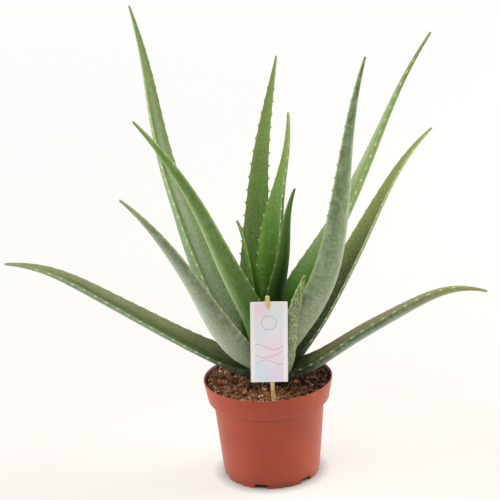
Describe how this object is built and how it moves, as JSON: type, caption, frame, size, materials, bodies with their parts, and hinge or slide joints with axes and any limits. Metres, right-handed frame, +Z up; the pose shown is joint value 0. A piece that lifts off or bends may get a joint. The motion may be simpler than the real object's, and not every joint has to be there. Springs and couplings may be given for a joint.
{
  "type": "potted aloe plant",
  "caption": "Young aloe with a rosette of toothed succulent leaves in a round nursery pot of soil, with a pastel card on a wooden pick",
  "frame": {"origin": "middle of the pad under the pot, on the pot's axis, in the plane that the pot's foot stands on", "axes": "+Z up along the pot's axis, -Y to the side with the card, +X to the right as seen from that side"},
  "size_m": [0.4353, 0.2591, 0.4324],
  "materials": {
    "terracotta_plastic": "satin",
    "peat": "matte",
    "stem_skin": "satin",
    "leaf_dark": "satin",
    "leaf_bright": "satin",
    "leaf_mottled": "satin",
    "leaf_mid": "satin",
    "leaf_silver": "satin",
    "leaf_olive": "satin",
    "leaf_spotted_skin": "satin",
    "pale_wood": "matte",
    "printed_card": "satin"
  },
  "bodies": {
    "root": {"pot": "terracotta_plastic", "soil": "peat", "stem": "stem_skin", "leaf_heart_spear": "leaf_dark", "leaf_heart_left": "leaf_bright", "leaf_heart_right": "leaf_bright", "leaf_back": "leaf_mottled", "leaf_left_smooth": "leaf_mid", "leaf_right_tall": "leaf_mid", "leaf_left_tall": "leaf_mid", "leaf_right_front": "leaf_silver", "leaf_right": "leaf_olive", "leaf_left_front": "leaf_silver", "leaf_low_left": "leaf_olive", "leaf_low_right": "leaf_olive", "leaf_spotted": "leaf_spotted_skin", "label_pick": "pale_wood", "label_card": "printed_card"}
  },
  "joints": []
}
